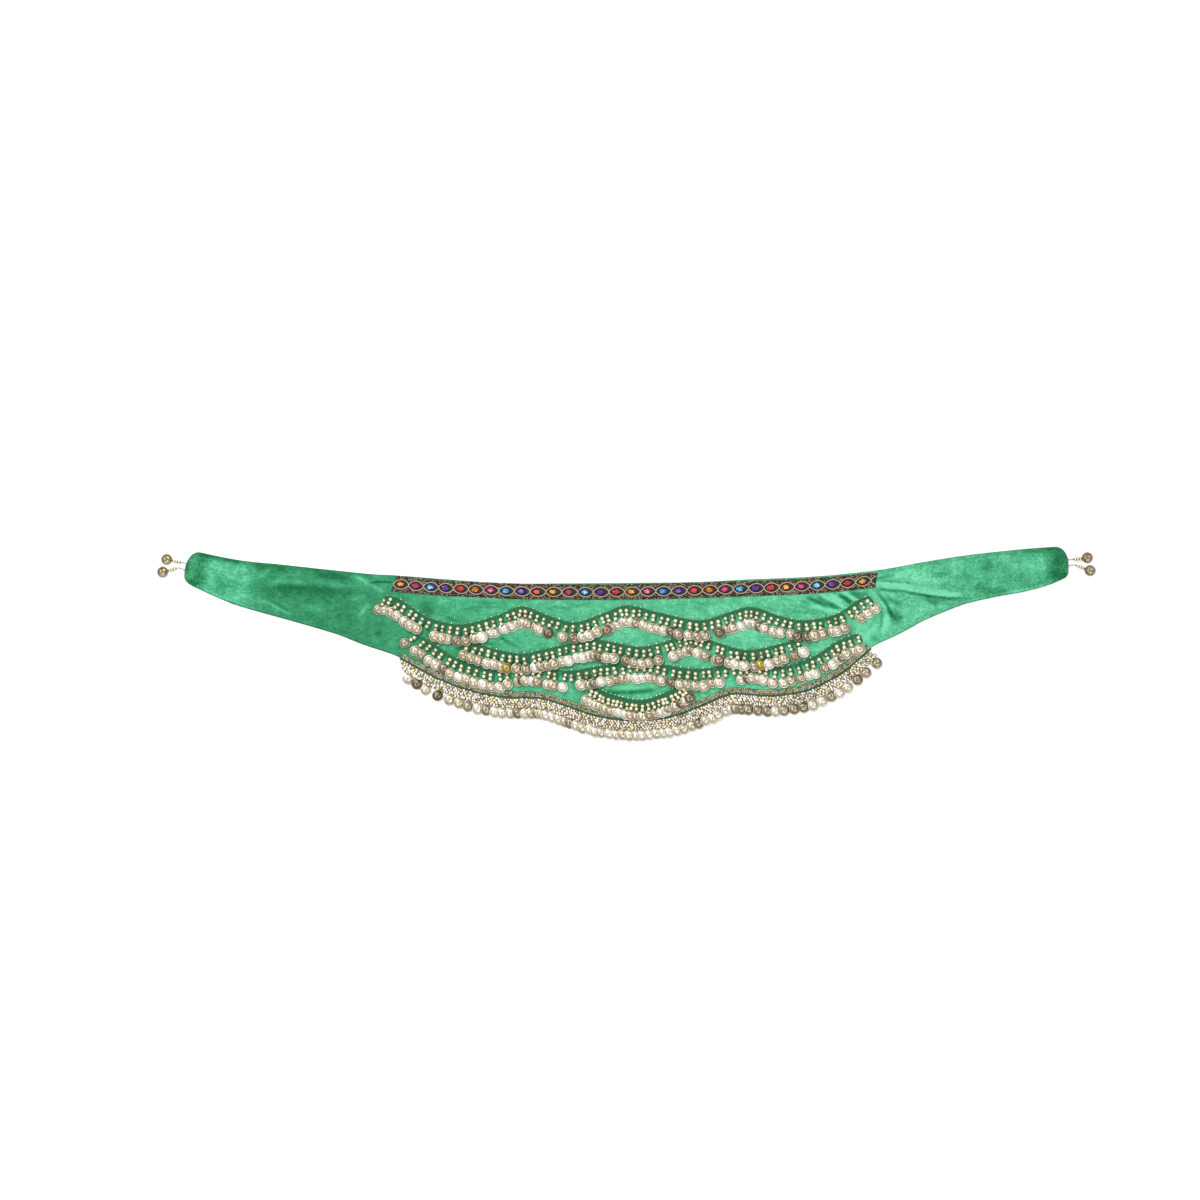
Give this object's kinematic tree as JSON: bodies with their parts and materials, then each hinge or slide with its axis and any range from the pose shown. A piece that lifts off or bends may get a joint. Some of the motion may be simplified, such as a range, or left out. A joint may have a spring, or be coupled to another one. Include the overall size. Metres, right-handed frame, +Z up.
{
  "type": "belly dance hip scarf",
  "caption": "Velvet hip scarf laid flat: curved panel with two tails, gem ribbon on top, draped bead-and-coin rows and a coin fringe below.",
  "frame": {"origin": "middle of the scarf's footprint, on the surface that it lies on", "axes": "+X along the scarf from tail to tail, +Y from the coin fringe to the gem ribbon, +Z up out of the face"},
  "size_m": [1.4522, 0.3004, 0.0127],
  "materials": {
    "velvet": "emerald stretch velvet with a brushed nap",
    "jacquard_ribbon": "black woven ribbon with pale gold cord ovals and speckled borders",
    "stone_orange": "faceted acrylic stone, foiled back",
    "stone_pink": "faceted acrylic stone, foiled back",
    "stone_blue": "faceted acrylic stone, foiled back",
    "stone_purple": "faceted acrylic stone, foiled back",
    "stone_red": "faceted acrylic stone, foiled back",
    "swag_beads": "gold plated beads on dark green crochet",
    "coin_metal": "stamped sheet-metal coins, antique pale silver",
    "metallic_braid": "woven metallic braid in silver, rose and gold",
    "velvet_piping": "narrow velvet piping",
    "fringe_beads": "gold and clear bead net",
    "thread": "dark green polyester thread",
    "dangler_beads": "gold plated beads"
  },
  "bodies": {
    "root": {"velvet_body": "velvet", "gem_ribbon": "jacquard_ribbon", "gem_01": "stone_orange", "gem_02": "stone_pink", "gem_03": "stone_blue", "gem_04": "stone_purple", "gem_05": "stone_red", "gem_06": "stone_orange", "gem_07": "stone_pink", "gem_08": "stone_blue", "gem_09": "stone_purple", "gem_10": "stone_red", "gem_11": "stone_orange", "gem_12": "stone_pink", "gem_13": "stone_blue", "gem_14": "stone_purple", "gem_15": "stone_red", "gem_16": "stone_orange", "gem_17": "stone_pink", "gem_18": "stone_blue", "gem_19": "stone_purple", "gem_20": "stone_red", "gem_21": "stone_orange", "gem_22": "stone_pink", "gem_23": "stone_blue", "gem_24": "stone_purple", "gem_25": "stone_red", "gem_26": "stone_orange", "gem_27": "stone_pink", "gem_28": "stone_blue", "gem_29": "stone_purple", "gem_30": "stone_red", "gem_31": "stone_orange", "swag_1_beads": "swag_beads", "swag_1_coins": "coin_metal", "swag_2_beads": "swag_beads", "swag_2_coins": "coin_metal", "swag_3_beads": "swag_beads", "swag_3_coins": "coin_metal", "swag_4_beads": "swag_beads", "swag_4_coins": "coin_metal", "edge_braid": "metallic_braid", "edge_piping": "velvet_piping", "fringe_net": "fringe_beads", "fringe_coins": "coin_metal", "dangler_left_upper_thread": "thread", "dangler_left_upper_beads": "dangler_beads", "dangler_left_upper_coin": "coin_metal", "dangler_left_lower_thread": "thread", "dangler_left_lower_beads": "dangler_beads", "dangler_left_lower_coin": "coin_metal", "dangler_right_upper_thread": "thread", "dangler_right_upper_beads": "dangler_beads", "dangler_right_upper_coin": "coin_metal", "dangler_right_lower_thread": "thread", "dangler_right_lower_beads": "dangler_beads", "dangler_right_lower_coin": "coin_metal"}
  },
  "joints": []
}
